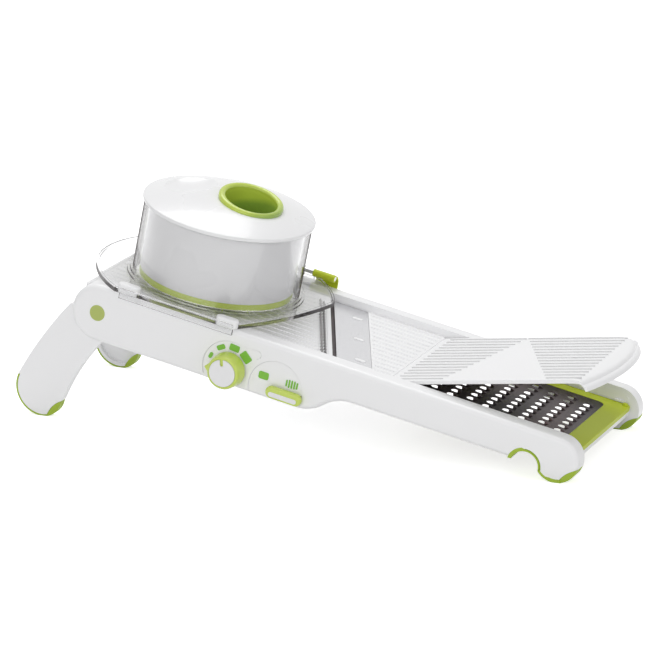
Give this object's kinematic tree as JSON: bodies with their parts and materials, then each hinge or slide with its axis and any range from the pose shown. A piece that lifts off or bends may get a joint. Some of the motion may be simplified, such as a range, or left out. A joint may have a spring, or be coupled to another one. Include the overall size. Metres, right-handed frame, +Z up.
{
  "type": "mandoline slicer",
  "caption": "Tilted mandoline slicer with folding leg, adjustable ramp, diagonal blade, julienne comb, sliding drum pusher, flap and grater.",
  "frame": {"origin": "middle of the bounding box on the surface it stands on, between the leg tips and the feet", "axes": "+X down-slope toward the feet, +Y across toward the hook side, +Z up"},
  "size_m": [0.4186, 0.1492, 0.157],
  "materials": {
    "white_plastic": "satin",
    "green_plastic": "gloss",
    "green_soft": "matt",
    "clear_plastic": "clear gloss",
    "steel": "brushed",
    "print_green": "matt"
  },
  "bodies": {
    "frame": {"near_wall": "white_plastic", "far_wall": "white_plastic", "landing_deck": "white_plastic", "front_bar": "white_plastic", "foot_bar": "white_plastic", "comb_bridge": "white_plastic", "near_cover": "white_plastic", "far_cover": "white_plastic", "near_foot_pad": "green_soft", "far_foot_pad": "green_soft", "near_pivot_cap": "green_plastic", "far_pivot_cap": "green_plastic", "blade_plate": "steel", "dial_marks": "print_green", "switch_marks": "print_green"},
    "leg": {"leg_frame": "white_plastic", "near_leg_pad": "green_soft", "far_leg_pad": "green_soft"},
    "dial": {"dial_knob": "green_plastic", "dial_cap": "white_plastic", "cam_shaft": "white_plastic"},
    "ramp": {"ramp": "white_plastic"},
    "switch": {"switch_slider": "green_plastic", "switch_inlay": "white_plastic", "switch_wedge": "white_plastic"},
    "comb": {"comb_holder": "white_plastic", "julienne_comb": "steel"},
    "carriage": {"carriage": "clear_plastic", "runner_near_rear": "white_plastic", "runner_near_front": "white_plastic", "runner_far_rear": "white_plastic", "runner_far_front": "white_plastic"},
    "hook": {"hook_rod": "steel", "hook_rear": "green_plastic", "hook_front": "green_plastic"},
    "pusher": {"lid": "white_plastic", "pusher_skirt": "white_plastic", "spike_plate": "green_plastic", "finger_well": "green_plastic"},
    "flap": {"flap": "white_plastic", "flap_pin": "steel"},
    "grater": {"grater_frame": "green_plastic", "grater_sheet": "steel"}
  },
  "joints": [
    {"name": "leg_fold", "type": "hinge", "parent": "frame", "child": "leg", "pos_m": [-0.14426, 0.00465, 0.07836], "axis": [0, -1, 0], "range_deg": [0, 108]},
    {"name": "dial_turn", "type": "hinge", "parent": "frame", "child": "dial", "pos_m": [-0.04796, 0.00465, 0.05025], "axis": [0, 1, 0], "range_deg": [0, 111.5]},
    {"name": "ramp_tilt", "type": "hinge", "parent": "frame", "child": "ramp", "pos_m": [-0.15101, 0.00465, 0.09018], "axis": [0, 1, 0], "range_deg": [-0.01, 2.6]},
    {"name": "switch_slide", "type": "slide", "parent": "frame", "child": "switch", "axis": [-0.9792, 0, 0.2028], "range_m": [0, 0.016]},
    {"name": "comb_lower", "type": "slide", "parent": "frame", "child": "comb", "axis": [-0.2028, 0, -0.9792], "range_m": [-0.00001, 0.01101]},
    {"name": "carriage_slide", "type": "slide", "parent": "frame", "child": "carriage", "axis": [0.9792, 0, -0.2028], "range_m": [0, 0.08]},
    {"name": "hook_swing", "type": "hinge", "parent": "carriage", "child": "hook", "pos_m": [-0.08981, 0.06565, 0.09476], "axis": [0.9792, 0, -0.2028], "range_deg": [0, 95]},
    {"name": "pusher_lift", "type": "slide", "parent": "carriage", "child": "pusher", "axis": [0.2028, 0, 0.9792], "range_m": [0, 0.045]},
    {"name": "flap_hinge", "type": "hinge", "parent": "frame", "child": "flap", "pos_m": [0.06069, 0.00465, 0.04838], "axis": [0, -1, 0], "range_deg": [-18.7, 12]},
    {"name": "grater_slide", "type": "slide", "parent": "frame", "child": "grater", "axis": [0.9792, 0, -0.2028], "range_m": [0, 0.13]}
  ],
  "couplings": [
    {"joint": "ramp_tilt", "follows": "dial_turn", "ratio": 0.023108},
    {"joint": "comb_lower", "follows": "switch_slide", "ratio": 0.6875}
  ]
}
